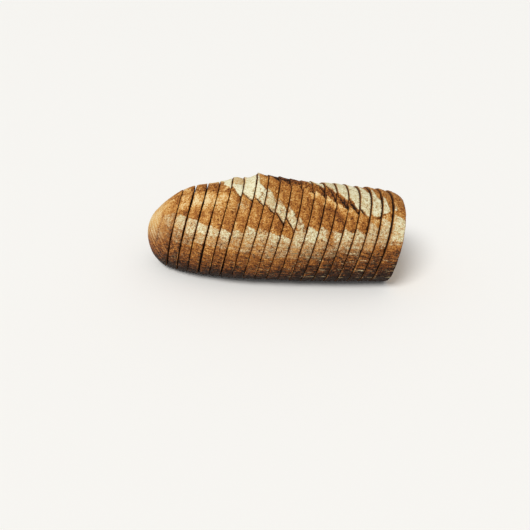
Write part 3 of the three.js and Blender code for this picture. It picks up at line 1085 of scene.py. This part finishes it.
def crust_material():
    """Baked sourdough crust: dull satin brown, pale gold to burnt by bake, with painted shade and highlights
    carried in the same attribute, under matte flour in clumps.
    """
    material = new_material("baked sourdough crust")
    node = partial(add, material.node_tree)
    place = node("TexCoord", out="Object")
    grain = node("TexNoise", {"Scale": 1 / (GRAIN_MM * MM), "Detail": 2, "Roughness": 0.6},
                 {"Vector": place})
    wrinkle = node("TexNoise",
                   {"Scale": 1 / (WRINKLE_MM * MM), "Detail": 4, "Roughness": 0.75}, {"Vector": place})
    skin = skin_colour(node, place, grain, wrinkle)
    floured, veil = flour_layer(node, place, grain)
    base = node("Mix", links={MIX_FACTOR: floured, MIX_A: skin, MIX_B: veil}, **COLOUR_MIX)
    dull = node("MapRange", {"To Min": 0.58, "To Max": 0.95}, {"Value": floured})
    texture = node("Math", {1: 0.7}, {0: grain, 2: wrinkle}, operation="MULTIPLY_ADD")
    bump = node("Bump", {"Strength": 0.8, "Distance": CRUST_BUMP_MM * MM}, {"Height": texture})
    shader = node("BsdfPrincipled", {"Specular IOR Level": 0.15},
                  {"Base Color": base, "Roughness": dull, "Normal": bump})
    node("OutputMaterial", links={"Surface": shader})
    return material


def crumb_material():
    """Open wholemeal crumb: matte tan with bran specks and holes darkened by painted shade, inside a thin
    brown rim of crust, with near black painted shade inside the gaps.
    """
    material = new_material("open wholemeal crumb")
    node = partial(add, material.node_tree)
    place = node("TexCoord", out="Object")
    crumb = node("Attribute", attribute_name="crumb", out="Fac")
    pore_shade = node("Attribute", attribute_name="pore_shade", out="Fac")
    cloud = node("TexNoise", {"Scale": 1 / (CLOUD_MM * MM), "Detail": 4, "Roughness": 0.65},
                 {"Vector": place})
    body = node("ValToRGB", links={"Fac": cloud}, stops=CRUMB_STOPS)
    bran = node("TexNoise", {"Scale": 1 / (BRAN_MM * MM), "Detail": 1}, {"Vector": place})
    specks = node("MapRange", {"From Min": 0.66, "From Max": 0.72, "To Max": 0.55}, {"Value": bran})
    speckled = node("Mix", {MIX_B: colour("7a5227")}, {MIX_FACTOR: specks, MIX_A: body}, **COLOUR_MIX)
    cell = node("TexVoronoi", {"Scale": 1 / (CELL_MM * MM)}, {"Vector": place}, out="Distance")
    # Small cells darkened as painted shade of the crumb's small pores, and raised by the bump
    small = node("MapRange",
                 {"From Min": 0.1, "From Max": 0.28, "To Min": 0.6, "To Max": 0.0}, {"Value": cell})
    # Painted shade in the holes: the deeper holes and the small cells
    deep = node("Math", {1: 0.85}, {0: pore_shade}, operation="MULTIPLY")
    painted_hole_shade = node("Math", links={0: small, 1: deep}, operation="MAXIMUM")
    holed = node("Mix", {MIX_B: colour("75502a")}, {MIX_FACTOR: painted_hole_shade, MIX_A: speckled}, **COLOUR_MIX)
    # Rind colours by crumb share; the near black stops paint the shade inside the gaps
    rind_and_gap_shade = node("ValToRGB", links={"Fac": crumb}, stops=RIND_AND_GAP_SHADE_STOPS)
    inner = node("MapRange", {"From Min": 0.55, "From Max": 0.95}, {"Value": crumb})
    base = node("Mix", links={MIX_FACTOR: inner, MIX_A: rind_and_gap_shade, MIX_B: holed}, **COLOUR_MIX)
    lift = node("Math", {1: -1.0, 2: 1.0}, {0: small}, operation="MULTIPLY_ADD")
    bump = node("Bump", {"Strength": 0.7, "Distance": CRUMB_BUMP_MM * MM}, {"Height": lift})
    shader = node("BsdfPrincipled", {"Roughness": 0.9, "Specular IOR Level": 0.2},
                  {"Base Color": base, "Normal": bump})
    node("OutputMaterial", links={"Surface": shader})
    return material


def floor_material():
    """Matte white table top."""
    material = new_material("matte white table")
    node = partial(add, material.node_tree)
    look = {"Base Color": colour("f5f4f2"), "Roughness": 0.9, "Specular IOR Level": 0.1}
    shader = node("BsdfPrincipled", look)
    node("OutputMaterial", links={"Surface": shader})
    return material


def set_stage():
    """White table, soft light from above the left shoulder, and a pale surround."""
    mesh = bpy.data.meshes.new("table")
    corners = ((-1, -1), (1, -1), (1, 1), (-1, 1))
    mesh.from_pydata([(x * TABLE_HALF, y * TABLE_HALF, 0) for x, y in corners], [], [(0, 1, 2, 3)])
    mesh.materials.append(floor_material())
    table = bpy.data.objects.new("table", mesh)
    bpy.context.collection.objects.link(table)
    sun = bpy.data.lights.new("window", "SUN")
    sun.energy = WINDOW_STRENGTH
    sun.angle = math.radians(WINDOW_SPREAD_DEG)
    sun.color = WINDOW_COLOUR
    lamp = bpy.data.objects.new("window", sun)
    lamp.rotation_euler = [math.radians(turn) for turn in WINDOW_TURN_DEG]
    bpy.context.collection.objects.link(lamp)
    world = bpy.data.worlds.new("room")
    world.use_nodes = True
    surround = world.node_tree.nodes["Background"].inputs
    surround["Color"].default_value = ROOM_COLOUR
    surround["Strength"].default_value = ROOM_STRENGTH
    scene = bpy.context.scene
    scene.world = world
    scene.view_settings.view_transform = "Standard"


def set_camera():
    """Camera placed so that the point it looks at falls where it does in the picture."""
    azimuth = math.radians(CAMERA_AZIMUTH)
    elevation = math.radians(CAMERA_ELEVATION)
    level = Vector((math.sin(azimuth), -math.cos(azimuth), 0))
    back = level * math.cos(elevation) + Vector((0, 0, math.sin(elevation)))
    right = Vector((math.cos(azimuth), math.sin(azimuth), 0))
    up = back.cross(right)
    step = CAMERA_DISTANCE / FOCAL_PIXELS
    middle = PICTURE_PIXELS / 2
    spot = Vector(LOOK_AT) + back * CAMERA_DISTANCE
    spot = spot - right * ((LOOK_PIXEL[0] - middle) * step) + up * ((LOOK_PIXEL[1] - middle) * step)
    data = bpy.data.cameras.new("camera")
    data.sensor_width = SENSOR_WIDTH
    data.lens = SENSOR_WIDTH * FOCAL_PIXELS / PICTURE_PIXELS
    data.clip_start = CLIP_START
    camera = bpy.data.objects.new("camera", data)
    turned = Matrix((right, up, back)).transposed().to_4x4()
    camera.matrix_world = Matrix.Translation(spot * MM) @ turned
    bpy.context.collection.objects.link(camera)
    bpy.context.scene.camera = camera


bread = (crust_material(), crumb_material())
heel_piece(bread)
for number in range(SLICES):
    slice_piece(number, bread)
set_stage()
set_camera()
